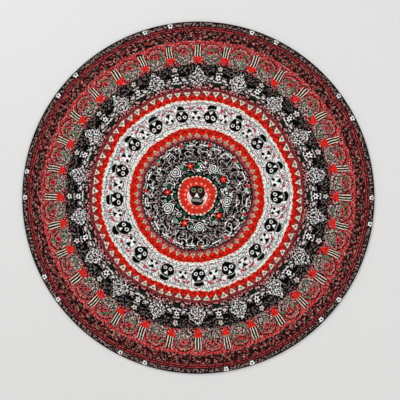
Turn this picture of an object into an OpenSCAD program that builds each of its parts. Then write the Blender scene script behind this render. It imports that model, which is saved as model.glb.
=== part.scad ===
// Round printed wall hanging: one cloth disc held flat by a jointed hoop in its rim.
// The disc stands in the XZ plane. +Z is up, -Y is the printed front, +Y is the wall side.
// The origin is the disc's centre, on the plane where cloth, facing and hoop meet.

/* [Disc] */
// Diameter over the rim
disc_d = 1500; // [900:10:2200]
// Thickness of the printed cloth
cloth_t = 0.5; // [0.3:0.05:1]

/* [Facing] */
// Width of the facing band behind the rim
facing_w = 60; // [48:1:100]
// Thickness of the facing band
facing_t = 0.5; // [0.3:0.05:1]

/* [Hoop] */
// Diameter of the hoop's rods
rod_d = 6; // [5:0.5:8]
// Wall of the ferrules that join the rods
ferrule_wall = 0.95; // [0.7:0.05:1.4]
// Length of a ferrule along the hoop
ferrule_len = 70; // [40:5:120]
// Gap between two rod ends inside a ferrule
rod_end_gap = 1; // [0.5:0.5:3]
// Clearance of a rod in a ferrule, on the radius
ferrule_clear = 0.05; // [0.02:0.01:0.1]
// Clearance of a ferrule in the rim's channel, on the radius
channel_clear = 0.15; // [0.1:0.05:0.5]

/* [Stitching] */
// Width of a row of stitches
thread_w = 0.6; // [0.4:0.1:1]
// Height that a stitch stands proud
thread_h = 0.2; // [0.15:0.05:0.35]
// Distance from an edge or a fold to its row of stitches
stitch_inset = 2; // [1.5:0.5:4]

/* [Hangers] */
// Angle of each hanger from the top of the disc
hanger_angle = 20; // [12:1:30]
// Width of the webbing
webbing_w = 20; // [15:1:26]
// Thickness of the webbing
webbing_t = 0.7; // [0.5:0.05:1]
// Diameter of the ring's wire
wire_d = 2.5; // [2:0.25:3]
// Inside width of the ring
ring_inner_w = 27; // [26:0.5:36]
// Corner radius of the ring, at the middle of the wire
ring_corner_r = 3; // [2:0.25:4]
// Running clearance of the ring's bar in its webbing loop, on the radius
loop_clear = 0.05; // [0.02:0.01:0.1]
// Gap between a hanger and the nearest row of stitches
hanger_gap = 2; // [1:0.5:4]

/* [Label] */
// Width of the care label
label_w = 30; // [20:1:50]
// Length of the care label
label_len = 50; // [30:1:80]
// Thickness of the folded label
label_t = 0.4; // [0.2:0.05:0.6]

/* [Hidden] */
$fn = 96;

// Segments of the rings that run right round the disc
ring_fn = 240;
// The hoop's four joints, in degrees
joint_step = 90;
first_joint = 45;

// Rim: a channel between cloth and facing holds the hoop
ferrule_r = rod_d / 2 + ferrule_clear + ferrule_wall;
channel_r = ferrule_r + channel_clear;
bead_r = channel_r + max(cloth_t, facing_t);
hoop_r = disc_d / 2 - bead_r;
facing_inner_r = disc_d / 2 - facing_w;

// Rows of stitches, one closing the channel and one along the facing's inner edge
channel_row_r = hoop_r - bead_r - stitch_inset;
edge_row_r = facing_inner_r + stitch_inset;

// Angles that lengths along the hoop subtend
rod_span = joint_step - rod_end_gap / hoop_r * 180 / PI;
ferrule_span = ferrule_len / hoop_r * 180 / PI;

// Ring: its bar lies across, and its bow stands above it
wire_r = wire_d / 2;
bow_r = ring_inner_w / 2 + wire_r;
bar_half = bow_r - ring_corner_r;
ring_h = ring_corner_r + bow_r + wire_r;

// Webbing loop round the ring's bar
loop_inner_r = wire_r + loop_clear;
loop_outer_r = loop_inner_r + webbing_t;
bar_y = facing_t + loop_outer_r;
tab_back_y = facing_t + 2 * webbing_t;

// The hanger's place between the two rows of stitches
bar_at_r = channel_row_r - thread_w / 2 - hanger_gap - ring_h;
bar_x = bar_at_r * sin(hanger_angle);
bar_z = bar_at_r * cos(hanger_angle);
tab_room = bar_at_r - edge_row_r - thread_w / 2 - hanger_gap - webbing_w / 2 * sin(hanger_angle);
tab_len = tab_room / cos(hanger_angle);
// Where the webbing's two layers come together below the ring
tab_slope = 3.2 * loop_outer_r;
// Box of stitches across the joined layers
box_w = webbing_w - 2 * stitch_inset;
box_h = tab_len - tab_slope - stitch_inset - thread_w;
box_mid_z = -tab_slope - thread_w - box_h / 2;

// Label: sewn on the facing, over its edge row, and hanging below it
label_y = facing_t + thread_h;
label_top_z = facing_inner_r + 3 * stitch_inset;
label_row_z = label_top_z - stitch_inset;
label_row_w = label_w - stitch_inset;

// Turns a shape made round Z so that it lies round Y, starting phi degrees clockwise from the top
module round_the_disc(phi = 0)
    rotate([-90, 0, 0])
        rotate([0, 0, phi - 90])
            children();

// Half of the rim's section: a flat sheet from radius r_in, ending in half a bead
// side is -1 for the front and 1 for the back, t is the sheet's thickness
module rim_section(r_in, t, side) {
    difference() {
        union() {
            translate([r_in, side < 0 ? -t : 0])
                square([hoop_r - r_in, t]);
            intersection() {
                translate([hoop_r, 0])
                    circle(r = channel_r + t);
                translate([hoop_r - 2 * bead_r, side < 0 ? -2 * bead_r : 0])
                    square([4 * bead_r, 2 * bead_r]);
            }
        }
        translate([hoop_r, 0])
            circle(r = channel_r);
    }
}

module face_cloth()
    color("firebrick")
        round_the_disc()
            rotate_extrude($fn = ring_fn)
                rim_section(0, cloth_t, -1);

module rim_facing()
    color("#1c1a1a")
        round_the_disc()
            rotate_extrude($fn = ring_fn)
                rim_section(facing_inner_r, facing_t, 1);

// One row of lockstitch: needle thread in front, bobbin thread behind
module stitch_row(r) {
    round_the_disc()
        rotate_extrude($fn = ring_fn) {
            translate([r - thread_w / 2, -cloth_t - thread_h])
                square([thread_w, thread_h]);
            translate([r - thread_w / 2, facing_t])
                square([thread_w, thread_h]);
        }
}

module channel_stitching()
    color("#2a2224")
        stitch_row(channel_row_r);

module facing_edge_stitching()
    color("#2a2224")
        stitch_row(edge_row_r);

// A quarter of the hoop, with its middle at phi
module hoop_rod(phi)
    color("#d9d4c4")
        round_the_disc(phi - rod_span / 2)
            rotate_extrude(angle = rod_span, $fn = ring_fn)
                translate([hoop_r, 0])
                    circle(r = rod_d / 2);

// A sleeve over two rod ends, formed to the hoop's curve
module ferrule(phi)
    color("#b08d4c")
        round_the_disc(phi - ferrule_span / 2)
            rotate_extrude(angle = ferrule_span, $fn = ring_fn)
                translate([hoop_r, 0])
                    difference() {
                        circle(r = ferrule_r);
                        circle(r = rod_d / 2 + ferrule_clear);
                    }

// Side view of the tab: a loop round the bar and two layers below it
module tab_section() {
    difference() {
        union() {
            translate([bar_y, 0])
                circle(r = loop_outer_r);
            translate([facing_t, -tab_len])
                square([webbing_t, tab_len]);
            translate([facing_t + webbing_t, -tab_len])
                square([webbing_t, tab_len - tab_slope]);
            polygon([
                [facing_t + webbing_t, -tab_slope],
                [tab_back_y, -tab_slope],
                [bar_y + loop_outer_r, 0],
                [bar_y + loop_inner_r, 0]
            ]);
        }
        translate([bar_y, 0])
            circle(r = loop_inner_r);
        polygon([
            [facing_t + webbing_t, 0],
            [facing_t + webbing_t, -tab_slope],
            [bar_y + loop_inner_r, 0]
        ]);
    }
}

// Places a hanger's piece at its bar: side is 1 for the right and -1 for the left
module at_hanger(side)
    translate([side * bar_x, 0, bar_z])
        children();

module hanging_tab(side)
    color("#262324")
        at_hanger(side)
            rotate([90, 0, 90])
                linear_extrude(webbing_w, center = true)
                    tab_section();

// A box of stitches with a row across its middle, through the webbing and the facing
module tab_stitching(side)
    color("#d8d2c6")
        at_hanger(side)
            translate([0, tab_back_y + thread_h, box_mid_z])
                rotate([90, 0, 0])
                    linear_extrude(thread_h) {
                        difference() {
                            square([box_w, box_h], center = true);
                            square([box_w - 2 * thread_w, box_h - 2 * thread_w], center = true);
                        }
                        square([box_w, thread_w], center = true);
                    }

// A wire ring: straight bar, two corners and a half-round bow, in the XZ plane
module d_ring(side)
    color("silver")
        at_hanger(side)
            translate([0, bar_y, 0])
                rotate([90, 0, 0]) {
                    rotate([0, 90, 0])
                        cylinder(r = wire_r, h = 2 * bar_half, center = true);
                    for (end = [0, 1])
                        mirror([end, 0, 0])
                            translate([bar_half, ring_corner_r, 0])
                                rotate(-90)
                                    rotate_extrude(angle = 90)
                                        translate([ring_corner_r, 0])
                                            circle(r = wire_r);
                    translate([0, ring_corner_r, 0])
                        rotate_extrude(angle = 180)
                            translate([bow_r, 0])
                                circle(r = wire_r);
                }

module care_label()
    color("white")
        translate([-label_w / 2, label_y, label_top_z - label_len])
            cube([label_w, label_t, label_len]);

module label_stitching()
    color("#8c8682")
        translate([-label_row_w / 2, label_y + label_t, label_row_z - thread_w / 2])
            cube([label_row_w, thread_h, thread_w]);

face_cloth();
rim_facing();
channel_stitching();
facing_edge_stitching();
hoop_rod(0);  // hoop_rod_top
hoop_rod(joint_step);  // hoop_rod_right
hoop_rod(2 * joint_step);  // hoop_rod_bottom
hoop_rod(3 * joint_step);  // hoop_rod_left
ferrule(first_joint);  // ferrule_upper_right
ferrule(first_joint + joint_step);  // ferrule_lower_right
ferrule(first_joint + 2 * joint_step);  // ferrule_lower_left
ferrule(first_joint + 3 * joint_step);  // ferrule_upper_left
hanging_tab(1);  // hanging_tab_right
hanging_tab(-1);  // hanging_tab_left
tab_stitching(1);  // tab_stitching_right
tab_stitching(-1);  // tab_stitching_left
d_ring(1);  // d_ring_right
d_ring(-1);  // d_ring_left
care_label();
label_stitching();
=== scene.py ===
"""Looks of a round wall hanging: a printed cloth over a hidden hoop, its facing, tabs, rings and label.

The print is drawn by shader nodes in millimetres: one node group for each ring of the design,
laid one over another from the rim to the middle in the group "ring_print".
"""
import math

import bpy
import numpy as np
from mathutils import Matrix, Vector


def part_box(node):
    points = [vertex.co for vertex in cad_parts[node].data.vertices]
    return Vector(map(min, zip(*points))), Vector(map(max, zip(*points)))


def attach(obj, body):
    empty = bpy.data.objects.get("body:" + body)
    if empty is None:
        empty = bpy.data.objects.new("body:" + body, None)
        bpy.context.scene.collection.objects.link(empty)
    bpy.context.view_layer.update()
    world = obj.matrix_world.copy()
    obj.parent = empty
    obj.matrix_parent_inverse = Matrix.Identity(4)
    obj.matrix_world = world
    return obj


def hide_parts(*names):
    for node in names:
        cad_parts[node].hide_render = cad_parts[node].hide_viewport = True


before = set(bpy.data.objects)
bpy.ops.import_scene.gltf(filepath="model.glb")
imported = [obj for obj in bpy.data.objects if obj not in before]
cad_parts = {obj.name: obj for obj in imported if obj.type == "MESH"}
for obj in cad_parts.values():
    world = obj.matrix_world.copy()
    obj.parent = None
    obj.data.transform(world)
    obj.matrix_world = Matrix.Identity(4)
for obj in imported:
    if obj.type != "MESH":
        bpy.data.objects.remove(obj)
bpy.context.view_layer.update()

MM = 0.001
TAU = math.tau

# Sizes of thread, webbing and seams, in metres. LOOP_R is the outside of the webbing's loop.
THREAD_W = 0.6 * MM
THREAD_H = 0.2 * MM
HEM_INSET = 2 * MM
WEBBING_T = 0.7 * MM
LOOP_R = 2.0 * MM
TAB_SLOPE = 3.2 * LOOP_R
GAP = 0.02 * MM

# Sizes read from the frame, in metres.
DISC_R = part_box("face_cloth")[1].x
BEAD_R = -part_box("face_cloth")[0].y
HOOP_R = DISC_R - BEAD_R
ROW_OUT_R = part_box("channel_stitching")[1].x - THREAD_W / 2
ROW_IN_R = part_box("facing_edge_stitching")[1].x - THREAD_W / 2
SHEET_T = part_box("facing_edge_stitching")[1].y - THREAD_H
FACING_R = ROW_IN_R - HEM_INSET
WALL_Y = BEAD_R + 0.6 * MM


# ---------------------------------------------------------------- node arithmetic


def plug(tree, value, socket):
    """Feeds a socket from a field, another socket, a number or a colour."""
    if isinstance(value, Field):
        tree.links.new(value.socket, socket)
    elif isinstance(value, bpy.types.NodeSocket):
        tree.links.new(value, socket)
    else:
        socket.default_value = value


class Field:
    """A number, place or colour over the surface. Arithmetic on it adds Math nodes to its tree."""

    def __init__(self, tree, socket):
        self.tree = tree
        self.socket = socket

    def math(self, operation, *others):
        return maths(self.tree, operation, self, *others)

    def __add__(self, other):
        return self.math("ADD", other)

    def __sub__(self, other):
        return self.math("SUBTRACT", other)

    def __rsub__(self, other):
        return maths(self.tree, "SUBTRACT", other, self)

    def __mul__(self, other):
        return self.math("MULTIPLY", other)

    def __truediv__(self, other):
        return self.math("DIVIDE", other)

    def __abs__(self):
        return self.math("ABSOLUTE")

    def __or__(self, other):
        return self.math("MAXIMUM", other)

    def __and__(self, other):
        return self.math("MINIMUM", other)

    def __invert__(self):
        return 1.0 - self

    __radd__ = __add__
    __rmul__ = __mul__


def added(tree, kind, inputs, output=0, **settings):
    """Adds a node with those settings and inputs, and returns one of its outputs."""
    node = tree.nodes.new("ShaderNode" + kind)
    for label, value in settings.items():
        setattr(node, label, value)
    for label, value in inputs.items():
        plug(tree, value, node.inputs[label])
    return Field(tree, node.outputs[output])


def maths(tree, operation, *values):
    return added(tree, "Math", dict(enumerate(values)), operation=operation)


def ramp(value, start, end, low=0.0, high=1.0):
    """low where value is at start, high where it is at end, straight between and held beyond."""
    return added(value.tree, "MapRange", dict(enumerate((value, start, end, low, high))))


def spot(across, out):
    """The two fields as one place."""
    return added(across.tree, "CombineXYZ", {0: across, 1: out})


def parted(place):
    """The three numbers of a place."""
    node = place.tree.nodes.new("ShaderNodeSeparateXYZ")
    plug(place.tree, place, node.inputs[0])
    return [Field(place.tree, output) for output in node.outputs]


def stretched(place, across, out, away=0.0):
    """The place scaled along each way, and moved off by away."""
    inputs = {0: place, 1: (across, out, 1.0), 2: (away, away * 0.7, 0.0)}
    return added(place.tree, "VectorMath", inputs, operation="MULTIPLY_ADD")


def moved(place, away):
    """The place moved off by away, for a fill unlike its neighbours."""
    return stretched(place, 1, 1, away)


def noise(place, size, detail=1.0, flat=True):
    """Soft blotches of that size, about a half on average."""
    inputs = {"Vector": place, "Scale": 1.0 / size, "Detail": detail}
    return added(place.tree, "TexNoise", inputs, noise_dimensions="2D" if flat else "3D")


def cell_edges(place, size):
    """Distance to the nearest edge between cells of that size, as a share of it."""
    inputs = {"Vector": place, "Scale": 1.0 / size}
    settings = {"voronoi_dimensions": "2D", "feature": "DISTANCE_TO_EDGE"}
    return added(place.tree, "TexVoronoi", inputs, "Distance", **settings)


def blend(tree, factor, first, second, way="MIX"):
    """One colour going over into another."""
    inputs = {0: factor, 6: first, 7: second}
    return added(tree, "Mix", inputs, 2, data_type="RGBA", blend_type=way)


def tinted(tree, colour, shade):
    """The colour made darker or lighter by a field."""
    plain = colour if isinstance(colour, Field) else colour[:3]
    return added(tree, "VectorMath", {0: plain, "Scale": shade}, operation="SCALE")


def ink(red, green, blue):
    """A colour given as 0 to 255 on a screen, as the shader needs it."""
    return (*(((c / 255 + 0.055) / 1.055) ** 2.4 for c in (red, green, blue)), 1.0)


def new_group(name, inputs, outputs):
    """An empty shader group with its sockets. Returns the tree, its inputs and its output node."""
    tree = bpy.data.node_groups.new(name, "ShaderNodeTree")
    for side, sockets in (("INPUT", inputs), ("OUTPUT", outputs)):
        for label, kind in sockets.items():
            tree.interface.new_socket(label, in_out=side, socket_type="NodeSocket" + kind)
    entry = tree.nodes.new("NodeGroupInput")
    fields = {label: Field(tree, entry.outputs[label]) for label in inputs}
    return tree, fields, tree.nodes.new("NodeGroupOutput")


def use_group(tree, group, **values):
    """Places a group in a tree, and returns its outputs by name."""
    node = tree.nodes.new("ShaderNodeGroup")
    node.node_tree = group
    for label, value in values.items():
        plug(tree, value, node.inputs[label.replace("_", " ")])
    return {socket.name: Field(tree, socket) for socket in node.outputs}


# ---------------------------------------------------------------- drawing tools for the print

INK_EDGE = 1.2
BLACK = ink(4, 2, 2)
WHITE = ink(252, 249, 248)
CREAM = ink(242, 224, 204)
RED = ink(224, 36, 23)
DEEP_RED = ink(136, 18, 18)
OLIVE = ink(150, 145, 105)


def filled(distance):
    """Ink where a distance from an outline is below nothing."""
    return ramp(distance, INK_EDGE / 2, -INK_EDGE / 2)


def between(value, low, high):
    """Ink where value lies between low and high."""
    return filled(abs(value - (low + high) / 2) - (high - low) / 2)


def line(value, at, width):
    """Ink in a line of that width where value is at."""
    return between(value, at - width / 2, at + width / 2)


def lines(value, pitch, share):
    """Ink in stripes with that pitch, which cover that share of it."""
    phase = (value / pitch).math("FRACT")
    return filled((abs(phase - 0.5) - share / 2) * pitch)


def scrolls(place, size, width, detail=0.6):
    """Ink in wandering scrollwork: the level line of soft blotches."""
    return ramp(abs(noise(place, size, detail) - 0.5), width, width * 0.6)


def strokes(place, size, share):
    """Ink in short thick strokes: a higher share leaves less ground."""
    return ramp(noise(place, size, 0.4), 0.53 - share * 0.06, 0.56 - share * 0.06)


def soaked(tree, place, colour):
    """The colour with faint flecks and a faint rose or green cast, as ink soaks into cotton."""
    sway = ramp(noise(moved(place, 60), 15, 0), 0.38, 0.62)
    cast = blend(tree, sway, ink(255, 238, 243), ink(238, 255, 251))
    flecks = ramp(noise(moved(place, 900), 6.5, 0.3), 0.32, 0.5, 0.5, 1.08)
    return tinted(tree, blend(tree, 1.0, colour, cast, "MULTIPLY"), flecks)


class Motif:
    """Something drawn: across along its ring and out from the middle, in millimetres."""

    def __init__(self, across, out, share=None, index=None):
        self.across = across
        self.out = out
        self.share = share
        self.index = index
        self.spot = spot(across, out)

    def distance(self, across, out, wide=1.0, tall=1.0):
        place, at = self.spot, (across, out, 0.0)
        if (wide, tall) != (1.0, 1.0):
            place = stretched(self.spot, 1 / wide, 1 / tall)
            at = (across / wide, out / tall, 0.0)
        return added(place.tree, "VectorMath", {0: place, 1: at}, "Value", operation="DISTANCE")

    def disc(self, across, out, radius):
        return filled(self.distance(across, out) - radius)

    def oval(self, across, out, wide, tall):
        return filled((self.distance(across, out, wide, tall) - 1.0) * min(wide, tall))

    def hoop(self, across, out, radius, width):
        return line(self.distance(across, out), radius, width)

    def flower(self, across, out, radius, petals, depth=0.3):
        """A round flower with that many petals."""
        turn = maths(self.spot.tree, "ARCTAN2", self.across - across, self.out - out)
        rim = (turn * petals).math("COSINE") * (radius * depth / 2) + radius * (1 - depth / 2)
        return filled(self.distance(across, out) - rim)

    def wedge(self, base, tip, width):
        """A triangle with its base and its tip at those distances out."""
        rise = ramp(self.out, tip, base, 0.0, width / 2)
        return filled(abs(self.across) - rise) & between(self.out, min(base, tip), max(base, tip))

    def block(self, across, wide, low, high):
        return between(self.across, across - wide / 2, across + wide / 2) & between(self.out, low, high)


class Ring:
    """A band of the print as it is drawn: its places, and the ink laid so far."""

    def __init__(self, name, ground):
        sockets = {"Place": "Vector", "Radius": "Float", "Turn": "Float", "Ink": "Color"}
        self.tree, fields, self.exit = new_group(name, sockets, {"Ink": "Color"})
        self.place, self.radius = fields["Place"], fields["Radius"]
        self.turn, self.under = fields["Turn"], fields["Ink"]
        self.colour = ground

    def paint(self, mask, colour):
        self.colour = blend(self.tree, mask, self.colour, colour)

    def band(self, low, high):
        return between(self.radius, low, high)

    def scribble(self, size, share, away=0):
        """Ink in strokes all over the ring."""
        return strokes(moved(self.place, away), size, share)

    def repeat(self, count, radius, degrees=0.0):
        """A motif that comes count times round, one of them at those degrees, true to size at radius."""
        steps = (self.turn - degrees / 360) * count + 0.5
        share = steps.math("FRACT") - 0.5
        return Motif(share * (TAU * radius / count), self.radius, share, steps.math("FLOOR"))

    def done(self, outline):
        """Lays the ring over what is under it, inside the outline."""
        plug(self.tree, blend(self.tree, outline, self.under, self.colour), self.exit.inputs[0])
        return self.tree


# ---------------------------------------------------------------- the print, from the rim inwards

# Where each ring starts and ends, in millimetres from the middle. Each lies over the next one out.
RIM_START = 664
COLUMNS = (560, 670)
LACE_POINTS = (456, 564)
OUTER_BORDER = (399, 458)
FIGURES = (292, 401)
INNER_BORDER = (228, 295)
INNER_LACE = (164, 231)
GARLAND = (80, 168)
PETALS = (39, 84)
MIDDLE_END = 42
# Past the edge of the cloth.
BEYOND = 760
# How far the inner rings lie left of and above the middle of the hoop, and where that drift fades out.
DRIFT_LEFT = 5.8
DRIFT_UP = 8.9
DRIFT_FADES = (460, 660)


def rim_border():
    """Strokes that run along the ring, a double red line and the edge band with its white flowers."""
    ring = Ring("rim_border", ink(22, 8, 10))
    arc = ring.repeat(40, 690)
    # Strokes that lie along the ring, so they are stretched in its own turn and radius.
    along = spot(arc.across * 0.42, arc.out)
    other = spot(arc.across * 0.42 + arc.index * 37, arc.out)
    ring.paint(strokes(along, 6.5, 0.5), ink(156, 38, 46))
    ring.paint(strokes(moved(other, 70), 6, -0.7), ink(200, 138, 134))
    ring.paint(ring.scribble(9, -0.9, 90), ink(96, 92, 76))
    ring.paint(line(arc.distance(0, 672), 17, 3), ink(186, 52, 52))
    ring.paint(line(arc.distance(0, 700), 13, 2.6), ink(150, 40, 42))
    ring.paint(ring.scribble(9, -0.6, 150), BLACK)
    ring.paint(ring.scribble(17, -0.9, 650), ink(40, 14, 18))
    ring.paint(ring.band(710, 729), ink(62, 26, 29))
    broken = ~ring.scribble(9, -0.3, 140)
    ring.paint(line(ring.radius, 714.5, 3.4) & broken, ink(206, 78, 76))
    ring.paint(line(ring.radius, 723.5, 3.4) & broken, ink(186, 66, 68))
    edge = ring.repeat(10, 739, -13.6)
    ring.paint(ring.band(729, BEYOND), ink(30, 16, 16))
    ring.paint(ring.band(731, 744) & ring.scribble(8, 0.1), ink(156, 130, 124))
    for across in (-56, 56):
        ring.paint(edge.disc(across, 738.5, 14), BLACK)
        ring.paint(edge.flower(across, 738.5, 11.5, 5), WHITE)
        ring.paint(edge.disc(across, 738.5, 3.8), ink(60, 40, 40))
    ring.paint(ring.band(745.5, BEYOND), ink(20, 10, 10))
    return ring.done(filled(RIM_START - ring.radius))


def column_ring():
    """Red hearts under cream bars, with busy round patches between and thin red arches over them."""
    ring = Ring("column_ring", ink(34, 10, 13))
    column = ring.repeat(32, 605)
    gap = ring.repeat(32, 605, 360 / 64)
    ring.paint(ring.scribble(7, 0.6), ink(184, 52, 60))
    ring.paint(ring.scribble(7, -0.9, 130), ink(212, 146, 140))
    ring.paint(ring.band(556, 572) & ring.scribble(7, -0.7, 50), BLACK)
    # The patch: grey at its foot, rose above, and scribbled all over.
    shape = gap.distance(0, 606, 42, 45) * 40
    inside = filled(shape - 39)
    rose = ramp(gap.out, 598, 622)
    ring.paint(inside, blend(ring.tree, rose, ink(140, 112, 108), ink(164, 54, 62)))
    light = blend(ring.tree, rose, ink(226, 208, 202), ink(226, 136, 134))
    ring.paint(inside & ring.scribble(6, -0.1, 70), light)
    ring.paint(inside & ring.scribble(7, -0.3, 20), ink(26, 8, 10))
    ring.paint(inside & ring.scribble(17, -1.5, 230), ink(96, 126, 92))
    ring.paint(gap.flower(0, 620, 12, 5, 0.6), ink(206, 44, 46))
    ring.paint(gap.disc(0, 620, 4), ink(40, 12, 14))
    ring.paint(line(shape, 27, 3), ink(70, 22, 26))
    ring.paint(line(shape, 39, 3) & filled(640 - gap.out), ink(206, 128, 116))
    # The column itself.
    ring.paint(column.block(0, 34, 598, 652), BLACK)
    for across in (-10.5, 0, 10.5):
        ring.paint(column.block(across, 3.6, 600, 651), CREAM)
    ring.paint(column.wedge(600, 566, 44), ink(222, 42, 36))
    ring.paint(column.block(0, 40, 591, 600), ink(222, 42, 36))
    # The arches.
    arch = gap.distance(0, 614)
    broken = ~ring.scribble(8, -0.4, 310)
    ring.paint(line(arch, 44.5, 3.4) & filled(632 - ring.radius), ink(22, 8, 10))
    ring.paint(line(arch, 49.5, 5) & filled(632 - ring.radius) & broken, ink(222, 54, 56))
    ring.paint(line(arch, 57, 3) & filled(644 - ring.radius) & broken, ink(206, 124, 112))
    ring.paint(line(ring.radius, 664, 5) & broken, ink(214, 44, 50))
    return ring.done(ring.band(*COLUMNS))


def lace_points():
    """Eighteen diamonds of lace on black, with sprays, a rosette and a bud in each gap."""
    ring = Ring("lace_points", BLACK)
    lace = ring.repeat(18, 510)
    gap = ring.repeat(18, 510, 10)
    ring.paint(ring.scribble(8, -0.4, 35), ink(112, 98, 96))
    # Sprays that climb from the foot of each diamond.
    side = spot(abs(gap.across), gap.out)
    low = filled(abs(gap.across) * 0.5 + ring.radius - 540)
    ring.paint(low & strokes(moved(side, 15), 9, -1.0), ink(226, 218, 216))
    ring.paint(gap.oval(0, 474, 20, 9), ink(20, 44, 30))
    for across in (-30, 30):
        ring.paint(gap.oval(across, 520, 17, 9), BLACK)
        ring.paint(gap.flower(across, 500, 8, 5, 0.5), ink(214, 206, 204))
    ring.paint(gap.disc(0, 508, 18), BLACK)
    ring.paint(gap.flower(0, 508, 14, 6, 0.5), WHITE)
    ring.paint(gap.disc(0, 508, 4.5), BLACK)
    ring.paint(gap.block(0, 44, 487, 491), ink(232, 226, 222))
    ring.paint(gap.disc(0, 547, 17), ink(18, 30, 22))
    ring.paint(gap.flower(0, 547, 12, 5, 0.4), ink(224, 212, 206))
    ring.paint(gap.disc(0, 547, 4), ink(140, 84, 88))
    # The lace: a diamond on a low foot.
    diamond = abs(lace.across) + abs(lace.out - 506) * 0.8 - 43
    foot = abs(lace.across) * 0.35 + lace.out - 482
    edge = diamond & foot
    ring.paint(filled(edge - 4), BLACK)
    ring.paint(filled(edge) & ring.scribble(6.2, -0.5), WHITE)
    ring.paint(filled(diamond) & lines(diamond, 17, 0.16), ink(206, 196, 194))
    # A rose cast near the border inside it.
    rosy = ramp(ring.radius, 466, 484, 1.0, 0.0)
    ring.colour = blend(ring.tree, rosy, ring.colour, ink(240, 160, 160), "MULTIPLY")
    return ring.done(ring.band(*LACE_POINTS))


def crossed(ring, count, radius, steep):
    """Ink in two sets of slanting lines that cross in diamonds."""
    along = ring.turn * count
    out = (ring.radius - radius) / steep
    one = (along + out).math("FRACT")
    two = (along - out).math("FRACT")
    pitch = TAU * radius / count
    return filled((abs(one - 0.5) - 0.1) * pitch) | filled((abs(two - 0.5) - 0.1) * pitch)


def outer_border():
    """A red band with diamonds, and cream jewels that point inwards on rose."""
    ring = Ring("outer_border", ink(156, 60, 62))
    ring.paint(crossed(ring, 90, 447, 24), ink(90, 34, 36))
    ring.paint(ring.band(452, 470), ink(118, 42, 47))
    red = filled(ring.radius - 429)
    ring.paint(red, RED)
    ring.paint(red & crossed(ring, 72, 416, 26), ink(140, 18, 18))
    jewel = ring.repeat(70, 436)
    ring.paint(jewel.wedge(445, 422, 29), CREAM)
    ring.paint(jewel.oval(0, 438, 5.5, 4), ink(84, 122, 92))
    zigzag = abs(ring.repeat(105, 404).share) * 10 + 400
    ring.paint(filled(ring.radius - zigzag - 4), ink(244, 222, 206))
    return ring.done(ring.band(*OUTER_BORDER))


def figure_band():
    """Seventeen dark masks on white, with small pale faces and red flowers between."""
    ring = Ring("figure_band", WHITE)
    # The masks stand closer together at the top than at the bottom.
    ring.turn = ring.turn + (ring.turn * TAU).math("SINE") * (3.8 / 360)
    mask = ring.repeat(17, 340, 9.8)
    gap = ring.repeat(17, 340, 9.8 + 180 / 17)
    ring.paint(scrolls(moved(ring.place, 25), 15, 0.02), ink(188, 178, 178))
    ring.paint(ring.scribble(8, -1.6, 80), ink(120, 84, 84))
    for at in (302, 393):
        ring.paint(line(ring.radius, at, 3.2), ink(128, 140, 134))
    for low, high in ((305, 320), (381, 390)):
        fringe = ring.band(low, high)
        dashes = lines(ring.turn * 2520 + (ring.radius / 7).math("FLOOR") * 4.6, 10, 0.62)
        ring.paint(fringe & lines(ring.radius, 7, 0.42) & dashes, ink(78, 90, 86))
    # A hatched shell behind each pale face.
    shell = gap.distance(0, 350, 36, 32) * 30
    ring.paint(between(shell, 23, 31) & lines(shell, 4.2, 0.5), ink(96, 84, 88))
    ring.paint(gap.disc(0, 343, 21), WHITE)
    ring.paint(line(gap.distance(0, 343), 21, 2.4), ink(120, 106, 110))
    for across in (-11, 11):
        ring.paint(gap.disc(across, 334, 6.6), BLACK)
    ring.paint(gap.wedge(362, 342, 24), BLACK)
    for across in (-19, 19):
        ring.paint(gap.flower(across, 372, 9.5, 5, 0.6), ink(190, 60, 72))
        ring.paint(gap.disc(across * 0.45, 373, 4), ink(120, 84, 88))
    # The dark masks, with their chins outwards.
    ring.paint(mask.oval(0, 375, 18, 13), BLACK)
    ring.paint(mask.block(0, 26, 365, 371), ink(150, 166, 150))
    ring.paint(mask.block(0, 40, 362, 365), BLACK)
    ring.paint(mask.oval(0, 339, 29, 28), BLACK)
    for across in (-12, 12):
        ring.paint(mask.hoop(across, 334, 6.2, 3.6), WHITE)
    ring.paint(mask.wedge(361, 345, 16), WHITE)
    return ring.done(ring.band(*FIGURES))


def inner_border():
    """Rose diamonds, cream points outwards, a red band and a scalloped cream line."""
    ring = Ring("inner_border", ink(84, 34, 38))
    ring.paint(ring.band(238, 256), ink(192, 92, 94))
    ring.paint(ring.band(236, 256) & crossed(ring, 49, 246, 26), ink(96, 34, 38))
    points = ring.repeat(49, 258)
    red = filled(255 - ring.radius)
    ring.paint(red, RED)
    ring.paint(filled(262 - ring.radius) & crossed(ring, 49, 274, 26), ink(142, 20, 18))
    ring.paint(points.wedge(249, 267, 24), ink(214, 190, 160))
    ring.paint(points.oval(0, 254, 6, 4), OLIVE)
    scallop = abs((ring.turn * (TAU * 49)).math("SINE")) * -4 + 289
    ring.paint(filled(scallop - ring.radius), CREAM)
    return ring.done(ring.band(*INNER_BORDER))


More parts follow.
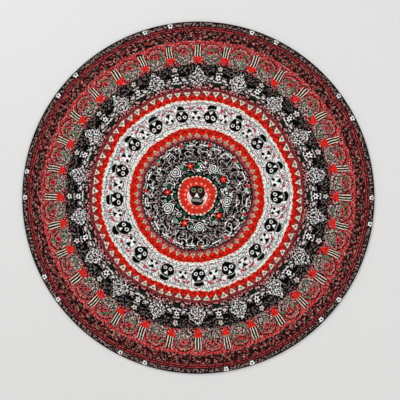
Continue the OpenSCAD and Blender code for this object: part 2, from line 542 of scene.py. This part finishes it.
def inner_lace():
    """Grey leaves outlined in black and scribbled in white, under arcs of white dashes."""
    ring = Ring("inner_lace", ink(96, 82, 81))
    ring.paint(ring.scribble(6.5, 0.1), ink(170, 154, 152))
    ring.paint(ring.scribble(8, -0.4, 20), ink(44, 32, 32))
    leaf = cell_edges(moved(ring.place, 45), 34) * 34
    ring.paint(filled(leaf - 3.4), BLACK)
    ring.paint(ring.scribble(20, -0.5, 90), BLACK)
    ring.paint(scrolls(moved(ring.place, 45), 24, 0.026, 0.5), WHITE)
    dashes = lines(ring.turn * 1440, 60, 0.72)
    ring.paint(ring.band(211, 231), BLACK)
    ring.paint(line(ring.radius, 215, 5) & dashes, WHITE)
    ring.paint(ring.band(220, 230) & ring.scribble(7, -0.2), ink(226, 210, 204))
    spots = ring.repeat(11, 222, 14)
    ring.paint(spots.flower(0, 220, 10, 5), ink(196, 46, 56))
    ring.paint(spots.oval(15, 220, 9, 4.5), ink(70, 120, 86))
    return ring.done(ring.band(*INNER_LACE))


def garland():
    """White roses in outline on black, with red flowers and leaves between."""
    ring = Ring("garland", BLACK)
    ring.paint(ring.scribble(7, -0.1), ink(150, 134, 132))
    ring.paint(ring.scribble(19, 0.1, 90), BLACK)
    ring.paint(scrolls(moved(ring.place, 60), 19, 0.05, 0.3), WHITE)
    rose = ring.repeat(5, 132, 31)
    bloom = ring.repeat(5, 128, -12)
    for across in (-36, 36):
        ring.paint(rose.oval(across, 126, 14, 9), BLACK)
        ring.paint(rose.oval(across, 126, 11, 5) & ring.scribble(6, 0.6), WHITE)
    ring.paint(rose.disc(0, 133, 29), BLACK)
    rings = lines(rose.distance(0, 133) + abs(rose.across) * 0.3, 10, 0.44)
    ring.paint(rose.flower(0, 133, 28, 6, 0.2) & rings, WHITE)
    for across in (-23, 23):
        ring.paint(bloom.oval(across, 122, 15, 9), BLACK)
        ring.paint(bloom.oval(across, 122, 12, 6), ink(26, 76, 48))
        ring.paint(bloom.oval(across * 1.5, 136, 9, 4.5), ink(130, 168, 140))
    ring.paint(bloom.disc(0, 128, 17), BLACK)
    ring.paint(bloom.flower(0, 128, 15.5, 5, 0.5), ink(226, 48, 36))
    ring.paint(bloom.disc(0, 128, 3.6), ink(240, 176, 156))
    leaves = ring.repeat(14, 93, 8)
    ring.paint(ring.band(84, 101), BLACK)
    ring.paint(leaves.oval(0, 92, 11, 4.5), ink(52, 92, 66))
    ring.paint(leaves.disc(20, 96, 4), ink(160, 150, 146))
    ring.paint(ring.band(152, 168), BLACK)
    ring.paint(ring.band(154, 168) & ring.scribble(7, -0.1), ink(150, 132, 130))
    return ring.done(ring.band(*GARLAND))


def petal_ring():
    """Red petals with cream pearls at both ends."""
    ring = Ring("petal_ring", ink(240, 62, 44))
    petal = ring.repeat(16, 66)
    ring.paint(line(abs(petal.share), 0.5, 0.05) & ring.band(56, 90), DEEP_RED)
    ring.paint(petal.disc(0, 51, 4.2), ink(250, 190, 176))
    tips = ring.repeat(30, 83)
    ring.paint(tips.disc(0, 82, 5.8), ink(250, 226, 208))
    start, end = PETALS
    scallops = filled(ring.radius - end + abs(tips.share) * 9)
    return ring.done(scallops & filled(start - ring.radius))


def centre_mask():
    """The mask in the middle, a plain face of circles and a triangle, on white."""
    ring = Ring("centre_mask", ink(250, 222, 214))
    mask = Motif(*parted(ring.place)[:2])
    ring.paint(mask.oval(0, 14, 36, 30), ink(44, 18, 18))
    ring.paint(mask.oval(0, -22, 24, 20), ink(46, 16, 16))
    for across in (-14, 14):
        ring.paint(mask.disc(across, 20, 10.5), ink(128, 138, 108))
        ring.paint(mask.disc(across, 20, 5), ink(54, 40, 36))
    ring.paint(mask.wedge(-9, 9, 23), WHITE)
    teeth = lines(mask.across, 8, 0.74)
    ring.paint(mask.block(0, 40, -27, -14), ink(70, 52, 50))
    ring.paint(mask.block(0, 38, -26, -15) & teeth, ink(170, 166, 158))
    return ring.done(filled(ring.radius - MIDDLE_END))


def ring_print():
    """The whole print. Place is a point of the cloth in metres; Ink is its colour there."""
    tree, fields, exit_node = new_group("ring_print", {"Place": "Vector"}, {"Ink": "Color"})
    x, _, z = parted(fields["Place"])
    across, up = x / MM, z / MM
    from_middle = (across * across + up * up).math("SQRT")
    drift = ramp(from_middle, *DRIFT_FADES, 1.0, 0.0)
    across = across + drift * DRIFT_LEFT
    up = up - drift * DRIFT_UP
    # Lines drawn by hand waver, least near the edge.
    plain = spot(across, up)
    freedom = ramp(from_middle, 560, 720, 1.0, 0.3)
    for size, reach, away in ((150, 6.0, 0), (40, 4.5, 300)):
        waver = freedom * (2 * reach)
        across = across + (noise(moved(plain, away), size, 0) - 0.5) * waver
        up = up + (noise(moved(plain, away + 700), size, 0) - 0.5) * waver
    place = spot(across, up)
    radius = (across * across + up * up).math("SQRT")
    turn = maths(tree, "ARCTAN2", across, up) / TAU
    colour = ink(60, 30, 30)
    for ring in (
        rim_border,
        column_ring,
        lace_points,
        outer_border,
        inner_border,
        figure_band,
        inner_lace,
        garland,
        petal_ring,
        centre_mask,
    ):
        made = use_group(tree, ring(), Place=place, Radius=radius, Turn=turn, Ink=colour)
        colour = made["Ink"]
    plug(tree, soaked(tree, place, colour), exit_node.inputs[0])
    return tree


# ---------------------------------------------------------------- effects that materials share


def plain_weave():
    """Threads over and under each other. Place is in metres, Pitch the width of one thread."""
    sockets = {"Place": "Vector", "Pitch": "Float", "Slub": "Float"}
    tree, fields, exit_node = new_group("plain_weave", sockets, {"Height": "Float", "Painted Shade": "Float"})
    place = fields["Place"]
    x, _, z = parted(place)
    warp, weft = x / fields["Pitch"], z / fields["Pitch"]
    warp_wave = (warp * math.pi).math("SINE")
    weft_wave = (weft * math.pi).math("SINE")
    over = (warp_wave * weft_wave).math("GREATER_THAN", 0.0)
    height = over * abs(warp_wave) + (~over) * abs(weft_wave)
    upright = noise(stretched(place, 900, 40), 1.0, 2, False)
    level = noise(stretched(place, 40, 900, 9), 1.0, 2, False)
    slub = upright + level
    # Painted shade: the colour is darker where the threads dip under each other, and lighter where
    # threads and their slubs stand high.
    shade = height * 0.16 + (slub - 1.0) * fields["Slub"] + 0.9
    plug(tree, height + (slub - 1.0) * 0.6, exit_node.inputs[0])
    plug(tree, shade, exit_node.inputs[1])
    return tree


def spun_thread():
    """The plies of a sewing thread, from a map that runs along and round it."""
    outputs = {"Height": "Float", "Painted Shade": "Float"}
    tree, fields, exit_node = new_group("spun_thread", {"Lie": "Vector"}, outputs)
    along, around, _ = parted(fields["Lie"])
    ply = abs((along * 4 + around * 2).math("FRACT") - 0.5) * 2
    height = 1.0 - ply * ply
    plug(tree, height, exit_node.inputs[0])
    # Painted shade: the thread's colour is darker in the grooves between its plies.
    plug(tree, height * 0.4 + 0.7, exit_node.inputs[1])
    return tree


def handling_wear():
    """Soft uneven patches, for dust, rubbing and dye. Place is in metres."""
    sockets = {"Place": "Vector", "Size": "Float"}
    tree, fields, exit_node = new_group("handling_wear", sockets, {"Patch": "Float"})
    scale = maths(tree, "DIVIDE", 1.0, fields["Size"])
    blotches = added(tree, "TexNoise", {"Vector": fields["Place"], "Scale": scale, "Detail": 4.0})
    plug(tree, ramp(blotches, 0.3, 0.7), exit_node.inputs[0])
    return tree


PRINT = ring_print()
WEAVE = plain_weave()
THREAD = spun_thread()
WEAR = handling_wear()


class Finish:
    """A material being made: its tree, its Principled shader and the surface's own places."""

    def __init__(self, name, **settings):
        self.material = bpy.data.materials.new(name)
        self.material.use_nodes = True
        self.tree = self.material.node_tree
        self.shader = self.tree.nodes["Principled BSDF"]
        self.place = added(self.tree, "TexCoord", {}, "Object")
        for label, value in settings.items():
            self.shader.inputs[label.replace("_", " ")].default_value = value

    def feed(self, label, value):
        plug(self.tree, value, self.shader.inputs[label])

    def use(self, group, **values):
        """The outputs of a group that is laid over the surface's own places."""
        return use_group(self.tree, group, Place=self.place, **values)

    def bump(self, height, depth, strength=1.0):
        inputs = {"Strength": strength, "Distance": depth, "Height": height}
        self.feed("Normal", added(self.tree, "Bump", inputs))

    def map_named(self, name):
        return added(self.tree, "UVMap", {}, uv_map=name)


def cloth_finish(name, ink_share, ground):
    """Printed cotton: ink_share is how much of the print shows on this side."""
    finish = Finish(name, Specular_IOR_Level=0.04)
    weave = finish.use(WEAVE, Pitch=0.45 * MM, Slub=0.12)
    wear = finish.use(WEAR, Size=0.18)
    drawn = finish.use(PRINT)["Ink"]
    if ink_share < 1.0:
        drawn = blend(finish.tree, ink_share, ground, drawn)
    # The weave's painted shade darkens the print between threads. The wear patches change its tone a
    # little.
    shade = weave["Painted Shade"] * (wear["Patch"] * 0.04 + 0.98)
    finish.feed("Base Color", tinted(finish.tree, drawn, shade))
    finish.feed("Roughness", wear["Patch"] * 0.08 + weave["Height"] * 0.06 + 0.78)
    finish.bump(weave["Height"], 0.06 * MM, 0.5)
    return finish.material


def facing_finish():
    finish = Finish("facing_cotton", Sheen_Weight=0.3, Sheen_Roughness=0.45, Specular_IOR_Level=0.2)
    weave = finish.use(WEAVE, Pitch=0.6 * MM, Slub=0.3)
    wear = finish.use(WEAR, Size=0.06)
    black = blend(finish.tree, wear["Patch"], ink(30, 28, 30), ink(44, 41, 42))
    # The weave's painted shade darkens the black cotton between threads.
    finish.feed("Base Color", tinted(finish.tree, black, weave["Painted Shade"]))
    finish.feed("Roughness", wear["Patch"] * 0.1 + 0.8)
    finish.bump(weave["Height"], 0.12 * MM, 0.8)
    return finish.material


def thread_finish(name, colour):
    finish = Finish(name, Sheen_Weight=0.2, Specular_IOR_Level=0.4)
    ply = use_group(finish.tree, THREAD, Lie=finish.map_named("lie"))
    wear = finish.use(WEAR, Size=0.01)
    # The plies' painted shade darkens the thread in its grooves.
    finish.feed("Base Color", tinted(finish.tree, colour, ply["Painted Shade"]))
    finish.feed("Roughness", wear["Patch"] * 0.15 + 0.5)
    finish.bump(ply["Height"], 0.08 * MM, 0.8)
    return finish.material


def webbing_finish():
    """Herringbone tape, from a map that runs along and across it in millimetres."""
    finish = Finish("webbing", Sheen_Weight=0.2, Specular_IOR_Level=0.35)
    along, side, _ = parted(finish.map_named("lie"))
    herring = abs((side / 5).math("FRACT") - 0.5) * 10
    rib = abs(((along + herring) / 1.1).math("FRACT") - 0.5) * 2
    wear = finish.use(WEAR, Size=0.008)
    tape = blend(finish.tree, wear["Patch"], ink(44, 42, 44), ink(66, 62, 63))
    # Painted shade and highlight: the tape is darker in the grooves between its ribs and lighter on their
    # tops.
    finish.feed("Base Color", tinted(finish.tree, tape, rib * 0.7 + 0.5))
    finish.feed("Roughness", wear["Patch"] * 0.12 + 0.62)
    finish.bump(rib, 0.25 * MM)
    return finish.material


def fibreglass_finish():
    """Drawn glass rod: fibres along it under a dull resin."""
    finish = Finish("fibreglass", Coat_Weight=0.2, Coat_Roughness=0.35, Specular_IOR_Level=0.5)
    fibre = noise(stretched(finish.place, 2500, 2500), 1.0, 3, False)
    resin = blend(finish.tree, ramp(fibre, 0.35, 0.65), ink(196, 196, 170), ink(226, 226, 206))
    finish.feed("Base Color", resin)
    finish.feed("Roughness", fibre * 0.25 + 0.32)
    finish.bump(fibre, 0.03 * MM, 0.6)
    return finish.material


def metal_finish(name, colour, dulled, rough, scratch):
    """Worn metal: fine scratches, and dull patches where it was handled."""
    finish = Finish(name, Metallic=1.0)
    wear = finish.use(WEAR, Size=0.012)
    scratches = noise(stretched(finish.place, 4000, 300), 1.0, 2, False)
    finish.feed("Base Color", blend(finish.tree, wear["Patch"], colour, dulled))
    finish.feed("Roughness", wear["Patch"] * 0.12 + scratches * 0.1 + rough)
    finish.bump(scratches, scratch, 0.4)
    return finish.material


def satin_finish():
    """Label satin: long floats in one direction, with a soft gloss."""
    finish = Finish("label_satin", Sheen_Weight=0.15, Anisotropic=0.4, Specular_IOR_Level=0.6)
    weave = finish.use(WEAVE, Pitch=0.22 * MM, Slub=0.1)
    floats = noise(stretched(finish.place, 5000, 5000), 1.0, 1, False)
    # The weave's painted shade darkens the satin between threads.
    finish.feed("Base Color", tinted(finish.tree, ink(232, 230, 224), weave["Painted Shade"]))
    finish.feed("Roughness", floats * 0.2 + 0.34)
    finish.bump(weave["Height"], 0.04 * MM, 0.5)
    return finish.material


FINISHES = {
    "cloth_front": cloth_finish("printed_cloth", 1.0, WHITE),
    "cloth_back": cloth_finish("printed_cloth_reverse", 0.62, ink(226, 216, 206)),
    "facing_cotton": facing_finish(),
    "dark_thread": thread_finish("dark_thread", ink(34, 30, 32)),
    "pale_thread": thread_finish("pale_thread", ink(206, 200, 190)),
    "grey_thread": thread_finish("grey_thread", ink(130, 128, 126)),
    "fibreglass": fibreglass_finish(),
    "ferrule_brass": metal_finish("ferrule_brass", ink(206, 168, 96), ink(150, 118, 70), 0.28, 0.02 * MM),
    "webbing": webbing_finish(),
    "ring_steel": metal_finish("ring_steel", ink(214, 214, 216), ink(176, 174, 172), 0.16, 0.01 * MM),
    "label_satin": satin_finish(),
}


# ---------------------------------------------------------------- shapes


def new_piece(name, points, faces):
    """A smooth mesh piece that rides on the root."""
    mesh = bpy.data.meshes.new(name)
    mesh.from_pydata(np.asarray(points).tolist(), [], [list(f) for f in faces])
    mesh.validate()
    mesh.shade_smooth()
    mesh.set_sharp_from_angle(angle=math.radians(50))
    piece = bpy.data.objects.new(name, mesh)
    bpy.context.scene.collection.objects.link(piece)
    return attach(piece, "root")


def paint(piece, *finishes):
    for finish in finishes:
        piece.data.materials.append(FINISHES[finish])


def stand_for(node):
    """Puts the piece in the place of the frame's node."""
    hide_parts(node)


def grid_faces(rows, columns, rows_meet=False, columns_meet=True):
    """Quads over a grid of points numbered row by row."""
    last_row = rows if rows_meet else rows - 1
    last_column = columns if columns_meet else columns - 1
    row, column = np.meshgrid(np.arange(last_row), np.arange(last_column), indexing="ij")
    next_row, next_column = (row + 1) % rows, (column + 1) % columns
    corners = [(row, column), (row, next_column), (next_row, next_column), (next_row, column)]
    return np.stack([(r * columns + c).ravel() for r, c in corners], 1)


def around(profile, steps):
    """The profile's points, (radius, y), turned about the y axis: one row for each point."""
    angle = np.arange(steps) * TAU / steps
    radius, depth = np.asarray(profile, float).T
    x = radius[:, None] * np.sin(angle)
    z = radius[:, None] * np.cos(angle)
    y = np.repeat(depth[:, None], steps, 1)
    return np.stack([x, y, z], 2).reshape(-1, 3)


def bead_arc(radius, side, steps=12):
    """From where the cloth meets the hoop's bead to its outermost point. side is -1 in front."""
    start = math.radians(134)
    angles = [start * (1 - k / steps) for k in range(steps + 1)]
    return [(HOOP_R + radius * math.cos(a), side * radius * math.sin(a)) for a in angles]


def tension(points):
    """Lets the stretched cloth sway a little between the facing's edges, and pucker at its seams."""
    most_sway, most_pucker, seam_reach = 1.1 * MM, 0.12 * MM, 7 * MM
    x, y, z = points.T
    radius, angle = np.hypot(x, z), np.arctan2(x, z)
    share = radius / FACING_R
    held = np.clip(1 - share**6, 0, 1)
    sway = share**2 * np.cos(3 * angle + 0.7)
    sway += 0.7 * share**3 * np.cos(5 * angle + 2.1)
    sway += 0.5 * share**5 * np.cos(9 * angle + 1.1)
    pucker = np.zeros_like(radius)
    for row in (ROW_IN_R, ROW_OUT_R):
        near = np.exp(-(((radius - row) / seam_reach) ** 2))
        pucker += near * (0.5 + 0.5 * np.cos(180 * angle + 0.8 * np.sin(13 * angle)))
    y += most_sway * sway * held + most_pucker * pucker
    return np.stack([x, y, z], 1)


def bake_map(piece, columns, front_rows):
    """A map of the cloth: the front as a large disc, the back as a small one in the corner."""
    front_disc = ((0.43, 0.43), 0.42)
    back_disc = ((0.825, 0.825), 0.16)
    reach = DISC_R + 8 * MM
    mesh = piece.data
    layer = mesh.uv_layers.new(name="OFBake")
    points = np.array([v.co for v in mesh.vertices])
    for face in mesh.polygons:
        in_front = min(face.vertices) // columns < front_rows
        middle, size = front_disc if in_front else back_disc
        for loop in face.loop_indices:
            x, y, z = points[mesh.loops[loop].vertex_index]
            radius = math.hypot(x, z)
            wrap = max(0.0, BEAD_R - abs(y)) * 0.8 if radius > HOOP_R else 0.0
            scale = size * (radius + wrap) / reach / max(radius, 1e-9)
            layer.data[loop].uv = (middle[0] + x * scale, middle[1] + z * scale)


def face_cloth():
    """The printed cloth: flat inside the facing, and over the front of the hoop at the rim."""
    steps = 384
    flat = [DISC_R * 0.02 * k for k in range(1, 45)]
    near = list(np.linspace(flat[-1], ROW_OUT_R + 0.5 * MM, 34)[1:])
    front = [(r, -SHEET_T) for r in flat + near] + bead_arc(BEAD_R, -1)
    inner_arc = bead_arc(BEAD_R - SHEET_T + GAP, -1)
    back = inner_arc[::-1] + [(r, -GAP) for r in (near[::-1][::2] + flat[::-2])]
    profile = np.array([(front[0][0] / 8, -SHEET_T)] + front + back + [(front[0][0] / 8, -GAP)])
    points = tension(around(profile, steps))
    faces = [tuple(f) for f in grid_faces(len(profile), steps)]
    last = (len(profile) - 1) * steps
    faces.append(tuple(reversed(range(steps))))
    faces.append(tuple(range(last, last + steps)))
    piece = new_piece("printed_cloth", points, faces)
    paint(piece, "cloth_front", "cloth_back")
    front_rows = len(front) + 1
    for face in piece.data.polygons:
        rows = [v // steps for v in face.vertices]
        face.material_index = int(max(rows) >= front_rows)
    bake_map(piece, steps, front_rows - 1)
    stand_for("face_cloth")
    return piece


def rim_facing():
    """The black strip behind the rim: hemmed at its inner edge, lapped once at the bottom."""
    steps = 540
    hem = [
        (FACING_R + 0.35 * MM, GAP),
        (FACING_R + 0.05 * MM, SHEET_T * 0.3),
        (FACING_R + 0.1 * MM, SHEET_T * 0.9),
        (FACING_R + 0.8 * MM, SHEET_T * 1.25),
        (FACING_R + 5.0 * MM, SHEET_T * 1.2),
        (FACING_R + 6.2 * MM, SHEET_T),
    ]
    flat = np.linspace(FACING_R + 9 * MM, ROW_OUT_R + 0.5 * MM, 16)
    outer = hem + [(r, SHEET_T) for r in flat] + bead_arc(BEAD_R, 1)
    inner = bead_arc(BEAD_R - SHEET_T + GAP, 1)[::-1] + [(r, GAP) for r in flat[::-1]]
    profile = np.array(outer + inner)
    points = around(profile, steps)
    x, y, z = points.T
    radius, angle = np.hypot(x, z), np.arctan2(x, z)
    on_back = np.repeat(np.arange(len(profile)) < len(outer), steps)
    lap_angle, lap_half, lap_rise, gather_rise = math.radians(170), 6 * MM, 0.35 * MM, 0.1 * MM
    lap = np.clip(1.6 - np.abs((angle - lap_angle) * DISC_R) / lap_half, 0, 1)
    gathers = 0.5 + 0.5 * np.cos(240 * angle + np.sin(17 * angle))
    # The gathers fade out over a centimetre towards each row of stitches.
    inside_outer_row = np.clip((ROW_OUT_R - radius) / (10 * MM), 0, 1)
    outside_inner_row = np.clip((radius - ROW_IN_R) / (10 * MM), 0, 1)
    y += on_back * (lap * lap_rise + gathers * inside_outer_row * outside_inner_row * gather_rise)
    faces = grid_faces(len(profile), steps, rows_meet=True)
    piece = new_piece("facing_strip", np.stack([x, y, z], 1), [tuple(f[::-1]) for f in faces])
    paint(piece, "facing_cotton")
    stand_for("rim_facing")
    return piece


def stitch_form():
    """One stitch lying along x, one long and one thick: its points, faces and map of its twist."""
    stations = [(-0.5, 0.0), (-0.42, 0.62), (-0.2, 0.95), (0.2, 0.95), (0.42, 0.62), (0.5, 0.0)]
    sides = 6
    points, lie, faces = [(stations[0][0], 0, 0)], [(0.0, 0.0)], []
    for along, size in stations[1:-1]:
        for k in range(sides):
            angle = TAU * k / sides
            points.append((along, size * math.cos(angle) / 2, size * math.sin(angle) / 2))
            lie.append((along, k / sides))
    points.append((stations[-1][0], 0, 0))
    lie.append((0.5, 0.0))
    last = len(points) - 1
    for k in range(sides):
        after = (k + 1) % sides
        faces.append((0, 1 + after, 1 + k))
        faces.append((last, last - sides + k, last - sides + after))
        for row in range(len(stations) - 3):
            a, b = 1 + row * sides, 1 + (row + 1) * sides
            faces.append((a + k, a + after, b + after, b + k))
    return np.array(points), faces, np.array(lie)


def stitched(name, node, finish, places, runs, ups, length):
    """Separate stitches: each has its middle, the way it runs and the way it faces."""
    form, form_faces, lie = stitch_form()
    rng = np.random.default_rng(len(places))
    places, runs, ups = (np.asarray(a, float) for a in (places, runs, ups))
    sides = np.cross(ups, runs)
    skew = rng.normal(0.07, 0.03, (len(places), 1))
    runs = runs + sides * skew
    size = length * rng.uniform(0.94, 1.03, (len(places), 1, 1))
    points = places[:, None] + runs[:, None] * form[None, :, :1] * size
    points = points + sides[:, None] * form[None, :, 1:2] * THREAD_W
    points = points + ups[:, None] * form[None, :, 2:] * THREAD_H * 2
    count = len(form)
    faces = [tuple(v + k * count for v in f) for k in range(len(places)) for f in form_faces]
    piece = new_piece(name, points.reshape(-1, 3), faces)
    layer = piece.data.uv_layers.new(name="lie")
    corners = np.zeros(len(piece.data.loops), np.int32)
    piece.data.loops.foreach_get("vertex_index", corners)
    layer.data.foreach_set("uv", lie[corners % count].astype(np.float32).ravel())
    paint(piece, finish)
    stand_for(node)
    return piece


def ring_stitches(name, node, radius, pitch=3.6 * MM):
    """A row all round, seen on the front and on the back."""
    count = round(TAU * radius / pitch)
    places, runs, ups = [], [], []
    for side in (-1, 1):
        for k in range(count):
            angle = TAU * (k + 0.25 * side) / count
            out = (math.sin(angle), 0, math.cos(angle))
            places.append((radius * out[0], side * (SHEET_T + THREAD_H * 0.35), radius * out[2]))
            runs.append((out[2], 0, -out[0]))
            ups.append((0, side, 0))
    return stitched(name, node, "dark_thread", places, runs, ups, pitch * 0.8)


def straight_stitches(start, end, pitch=2.4 * MM):
    """Middles and directions of the stitches from start to end, points in (x, z)."""
    start, end = np.array(start), np.array(end)
    span = np.linalg.norm(end - start)
    count = max(1, round(span / pitch))
    way = (end - start) / span
    middles = [start + way * span * (k + 0.5) / count for k in range(count)]
    return [(m, way) for m in middles]


def flat_stitches(name, node, finish, rows, level):
    """Stitches on a face that looks backwards, at that y."""
    made = [s for start, end in rows for s in straight_stitches(start, end)]
    places = [(m[0], level, m[1]) for m, _ in made]
    runs = [(w[0], 0, w[1]) for _, w in made]
    ups = [(0, 1, 0)] * len(made)
    return stitched(name, node, finish, places, runs, ups, 2.0 * MM)


def tape_form(path, width, thickness, cup=None, across_steps=8):
    """A flat tape along a path of (y, z) points, with rounded edges and a map in millimetres."""
    path = np.asarray(path, float)
    step = np.gradient(path, axis=0)
    step /= np.linalg.norm(step, axis=1, keepdims=True)
    normal = np.stack([step[:, 1], -step[:, 0]], 1)
    travelled = np.concatenate([[0], np.cumsum(np.linalg.norm(np.diff(path, axis=0), axis=1))])
    half, edge = width / 2, thickness / 2
    top = [(x, edge) for x in np.linspace(-half + edge, half - edge, across_steps + 1)]
    right = [(half - edge + edge * math.cos(a), edge * math.sin(a)) for a in (0.8, 0.0, -0.8)]
    section = top + right
    section = np.array(section + [(-x, -n) for x, n in section])
    points, lie = [], []
    for (y, z), (ny, nz), run in zip(path, normal, travelled):
        for x, n in section:
            lift = cup(x, run) if cup else 0.0
            points.append((x, y + ny * (n + lift), z + nz * (n + lift)))
            lie.append((run / MM, x / MM))
    columns = len(section)
    faces = [tuple(f) for f in grid_faces(len(path), columns)]
    last = (len(path) - 1) * columns
    faces += [tuple(range(columns))[::-1], tuple(range(last, last + columns))]
    return np.array(points), faces, lie


def write_lie(piece, lie):
    layer = piece.data.uv_layers.new(name="lie")
    for loop in piece.data.loops:
        layer.data[loop.index].uv = lie[loop.vertex_index]


def hanging_tab(side):
    """A webbing tab: up the facing, round the ring's bar and down again."""
    node = f"hanging_tab_{side}"
    low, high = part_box(node)
    middle = (low.x + high.x) / 2
    loop_r = LOOP_R - WEBBING_T / 2
    bar_y, bar_z = high.y - LOOP_R, high.z - LOOP_R
    front_y = low.y + WEBBING_T / 2
    back_y = front_y + WEBBING_T
    up = [(front_y, z) for z in np.linspace(low.z, bar_z, 12)]
    turn = [
        (bar_y - loop_r * math.cos(a), bar_z + loop_r * math.sin(a))
        for a in np.linspace(0, math.pi, 15)[1:-1]
    ]
    # From the loop to the first layer, as a smooth step.
    fall = bar_y + loop_r - back_y
    shares = [k / 8 for k in range(9)]
    down = [(back_y + fall * (1 - k * k * (3 - 2 * k)), bar_z - TAB_SLOPE * k) for k in shares]
    tail = [(back_y, z) for z in np.linspace(bar_z - TAB_SLOPE, low.z + 0.6 * MM, 10)[1:]]
    points, faces, lie = tape_form(up + turn + down + tail, high.x - low.x, WEBBING_T * 0.94)
    points[:, 0] += middle
    piece = new_piece(f"webbing_tab_{side}", points, faces)
    write_lie(piece, lie)
    paint(piece, "webbing")
    stand_for(node)
    return piece


def tab_stitching(side):
    """A box of stitches on the tab, with one row through its middle."""
    node = f"tab_stitching_{side}"
    low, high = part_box(node)
    inset = THREAD_W / 2
    left, right = low.x + inset, high.x - inset
    bottom, top = low.z + inset, high.z - inset
    middle = (bottom + top) / 2
    rows = [
        ((left, bottom), (right, bottom)),
        ((right, bottom), (right, top)),
        ((right, top), (left, top)),
        ((left, top), (left, bottom)),
        ((left, middle), (right, middle)),
    ]
    return flat_stitches(f"tab_stitches_{side}", node, "pale_thread", rows, low.y + THREAD_H * 0.35)


def care_label():
    """A blank satin label, sewn at its top and curling a little at its foot."""
    low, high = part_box("care_label")
    thickness = high.y - low.y
    middle_y = (low.y + high.y) / 2
    span = high.z - low.z
    sewn_share, curl, cup_depth, half_width = 0.08, 3.0 * MM, 0.9 * MM, 15 * MM
    path = []
    for k in range(25):
        share = k / 24
        free = max(0.0, share - sewn_share)
        path.append((middle_y + curl * free**2.2, high.z - span * share))
    points, faces, lie = tape_form(
        path,
        high.x - low.x,
        thickness * 0.6,
        cup=lambda x, run: -cup_depth * (x / half_width) ** 2 * (run / span) ** 1.5,
        across_steps=12,
    )
    points[:, 0] += (low.x + high.x) / 2
    piece = new_piece("satin_label", points, faces)
    write_lie(piece, lie)
    paint(piece, "label_satin")
    stand_for("care_label")
    return piece


def label_stitching():
    low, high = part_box("label_stitching")
    level = (low.z + high.z) / 2
    row = [((low.x, level), (high.x, level))]
    return flat_stitches("label_stitches", "label_stitching", "grey_thread", row, low.y + THREAD_H * 0.2)


def finish_kept_nodes():
    """Gives the rods, ferrules and rings that stay from the frame their own finishes."""
    finishes = {"hoop_rod": "fibreglass", "ferrule": "ferrule_brass", "d_ring": "ring_steel"}
    for name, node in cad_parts.items():
        for start, finish in finishes.items():
            if name.startswith(start):
                node.data.materials.clear()
                paint(node, finish)
                node.data.shade_smooth()
                node.data.set_sharp_from_angle(angle=math.radians(35))


# ---------------------------------------------------------------- the room, the light and the camera


def flat_stage(name, corners, colour, see_through_back=False):
    """A flat wall or floor. From behind, a wall can be seen through, so that it hides nothing."""
    mesh = bpy.data.meshes.new(name)
    mesh.from_pydata(corners, [], [(0, 1, 2, 3)])
    panel = bpy.data.objects.new(name, mesh)
    bpy.context.scene.collection.objects.link(panel)
    finish = Finish(name, Roughness=0.9, Specular_IOR_Level=0.1)
    mottle = noise(finish.place, 0.02, 3, False)
    paler = (*(c * 1.03 for c in colour[:3]), 1.0)
    finish.feed("Base Color", blend(finish.tree, mottle, colour, paler))
    if see_through_back:
        tree = finish.tree
        geometry = tree.nodes.new("ShaderNodeNewGeometry")
        clear = tree.nodes.new("ShaderNodeBsdfTransparent")
        mix = tree.nodes.new("ShaderNodeMixShader")
        tree.links.new(geometry.outputs["Backfacing"], mix.inputs[0])
        tree.links.new(finish.shader.outputs[0], mix.inputs[1])
        tree.links.new(clear.outputs[0], mix.inputs[2])
        tree.links.new(mix.outputs[0], tree.nodes["Material Output"].inputs[0])
        panel.visible_shadow = False
    mesh.materials.append(finish.material)


def soft_light(name, place, size, power):
    """A square light that faces the middle of the disc."""
    lamp = bpy.data.lights.new(name, "AREA")
    lamp.shape = "SQUARE"
    lamp.size = size
    lamp.energy = power
    light = bpy.data.objects.new(name, lamp)
    light.location = place
    light.rotation_euler = light.location.to_track_quat("Z", "Y").to_euler()
    bpy.context.scene.collection.objects.link(light)


def room():
    """A pale wall and floor, two lights in front, two behind and an even white sky."""
    reach, floor_z, top_z = 7.0, -1.25, 4.0
    wall = ((reach, top_z), (-reach, top_z), (-reach, floor_z), (reach, floor_z))
    flat_stage("wall", [(x, WALL_Y, z) for x, z in wall], ink(226, 226, 226), see_through_back=True)
    floor = ((-reach, -reach), (reach, -reach), (reach, reach), (-reach, reach))
    flat_stage("floor", [(x, y, floor_z) for x, y in floor], ink(222, 220, 217))
    soft_light("key", (-2.6, -3.4, 2.8), size=2.4, power=116)
    soft_light("fill", (2.6, -3.8, 0.6), size=3.0, power=58)
    soft_light("back_key", (2.4, 3.6, 2.2), size=2.4, power=110)
    soft_light("back_fill", (-2.6, 3.2, 0.8), size=2.4, power=60)
    world = bpy.data.worlds.new("studio")
    world.use_nodes = True
    sky = world.node_tree.nodes["Background"]
    sky.inputs["Color"].default_value = (1.0, 1.0, 1.0, 1.0)
    sky.inputs["Strength"].default_value = 0.38
    bpy.context.scene.world = world
    bpy.context.scene.view_settings.view_transform = "Standard"


def camera():
    """Straight in front. The disc fills most of the view, a little left of and above its middle."""
    shown = 2.2713 * DISC_R
    aside, below = 0.0041 * shown, 0.006 * shown
    data = bpy.data.cameras.new("camera")
    data.lens, data.sensor_width = 85.0, 36.0
    made = bpy.data.objects.new("camera", data)
    distance = shown * data.lens / data.sensor_width
    made.location = (aside, -distance, -below)
    made.rotation_euler = (math.radians(90), 0, 0)
    bpy.context.scene.collection.objects.link(made)
    bpy.context.scene.camera = made


camera()
room()
face_cloth()
rim_facing()
ring_stitches("rim_stitches", "channel_stitching", ROW_OUT_R)
ring_stitches("facing_edge_stitches", "facing_edge_stitching", ROW_IN_R)
for side in ("right", "left"):
    hanging_tab(side)
    tab_stitching(side)
care_label()
label_stitching()
finish_kept_nodes()
